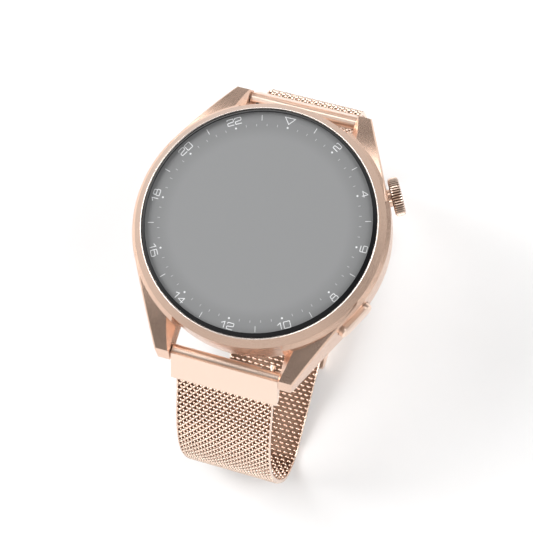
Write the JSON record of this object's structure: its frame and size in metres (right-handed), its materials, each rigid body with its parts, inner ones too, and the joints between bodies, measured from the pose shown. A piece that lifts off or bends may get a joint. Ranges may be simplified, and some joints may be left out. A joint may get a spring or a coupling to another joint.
{
  "type": "smartwatch",
  "caption": "Round smartwatch with crown and side button, standing on its closed woven steel-mesh strap with magnet clasp.",
  "frame": {"origin": "on the standing surface, under the dial's centre, on the magnet tab's outer face", "axes": "+Z is the way the dial faces, +Y points to 12 o'clock, +X to 3 o'clock, where the crown side is"},
  "size_m": [0.0509, 0.0766, 0.0668],
  "materials": {
    "bezel": "rose gold, brushed around the ring",
    "case": "rose gold, fine satin",
    "polished_controls": "rose gold, polished",
    "links": "rose gold, satin",
    "mesh": "rose gold woven wire",
    "clear_glass": "polished",
    "display": "grey screen picture under the glass",
    "rear_ceramic": "polished black",
    "seal": "matt",
    "bare_steel": "bright turned steel",
    "spring_steel": "drawn wire",
    "circuit_board": "solder mask",
    "packages": "moulded",
    "cell": "foil pouch",
    "winding": "enamelled wire",
    "carrier": "machined",
    "magnet": "nickel plated"
  },
  "bodies": {
    "case": {"case_body": "case", "bezel_ring": "bezel", "bezel_gasket": "seal", "cover_glass": "clear_glass", "glass_gasket": "seal", "display_panel": "display", "inner_frame": "carrier", "main_board": "circuit_board", "board_components": "packages", "board_screws": "bare_steel", "battery": "cell", "vibration_motor": "bare_steel", "speaker": "packages", "microphone": "packages", "sensor_board": "circuit_board", "charging_coil": "winding", "rear_cover": "case", "rear_gasket": "seal", "rear_screws": "bare_steel", "rear_crystal": "rear_ceramic", "crown_tube": "case", "crown_spring": "spring_steel", "crown_encoder": "packages", "crown_switch": "packages", "button_spring": "spring_steel", "button_switch": "packages"},
    "crown_slider": {"crown_thrust_ring": "bare_steel"},
    "crown": {"crown_cap": "polished_controls", "crown_stem": "bare_steel", "crown_seal": "seal"},
    "side_button": {"side_button": "polished_controls", "button_stem": "bare_steel", "button_clip": "spring_steel"},
    "upper_strap": {"upper_end_link": "links", "upper_spring_bar": "bare_steel", "upper_fixed_pin": "bare_steel", "upper_bar_spring": "spring_steel", "upper_side_band": "mesh"},
    "upper_release": {"upper_release_pin": "bare_steel", "upper_release_knob": "polished_controls"},
    "upper_base": {"upper_base_band": "mesh", "buckle_frame": "links"},
    "lower_strap": {"lower_end_link": "links", "lower_spring_bar": "bare_steel", "lower_fixed_pin": "bare_steel", "lower_bar_spring": "spring_steel", "lower_side_band": "mesh"},
    "lower_release": {"lower_release_pin": "bare_steel", "lower_release_knob": "polished_controls"},
    "lower_base": {"lower_base_band": "mesh", "band_fold": "mesh"},
    "magnet_tab": {"band_tail": "mesh", "tab_shell": "links", "tab_magnets": "magnet", "tab_lid": "links"}
  },
  "joints": [
    {"name": "crown_press", "type": "slide", "parent": "case", "child": "crown_slider", "axis": [-0.8704, -0.4924, 0], "range_m": [0, 0.0004], "stiffness_N_per_m": 1500, "deforming": ["crown_spring"]},
    {"name": "crown_spin", "type": "hinge", "parent": "crown_slider", "child": "crown", "pos_m": [0.02306, 0.01305, 0.0595], "axis": [0.8704, 0.4924, 0], "continuous": true},
    {"name": "button_press", "type": "slide", "parent": "case", "child": "side_button", "axis": [-0.891, 0.454, 0], "range_m": [0, 0.0004], "stiffness_N_per_m": 1500, "deforming": ["button_spring"]},
    {"name": "upper_strap_swing", "type": "hinge", "parent": "case", "child": "upper_strap", "pos_m": [0, 0.02645, 0.0555], "axis": [1, 0, 0], "range_deg": [0, 60]},
    {"name": "upper_release_slide", "type": "slide", "parent": "upper_strap", "child": "upper_release", "axis": [1, 0, 0], "range_m": [0, 0.00145], "stiffness_N_per_m": 600, "springref_m": -0.0005, "deforming": ["upper_bar_spring"]},
    {"name": "upper_band_flex", "type": "hinge", "parent": "upper_strap", "child": "upper_base", "pos_m": [0, 0.033, 0.015], "axis": [1, 0, 0], "range_deg": [0, 45]},
    {"name": "lower_strap_swing", "type": "hinge", "parent": "case", "child": "lower_strap", "pos_m": [0, -0.02645, 0.0555], "axis": [-1, 0, 0], "range_deg": [0, 70]},
    {"name": "lower_release_slide", "type": "slide", "parent": "lower_strap", "child": "lower_release", "axis": [-1, 0, 0], "range_m": [0, 0.00145], "stiffness_N_per_m": 600, "springref_m": -0.0005, "deforming": ["lower_bar_spring"]},
    {"name": "lower_band_flex", "type": "hinge", "parent": "lower_strap", "child": "lower_base", "pos_m": [0, -0.0418, 0.015], "axis": [-1, 0, 0], "range_deg": [0, 50]},
    {"name": "tab_peel", "type": "hinge", "parent": "lower_base", "child": "magnet_tab", "pos_m": [0, 0.0107, 0.0013], "axis": [1, 0, 0], "range_deg": [0, 110], "deforming": ["band_fold"]}
  ]
}
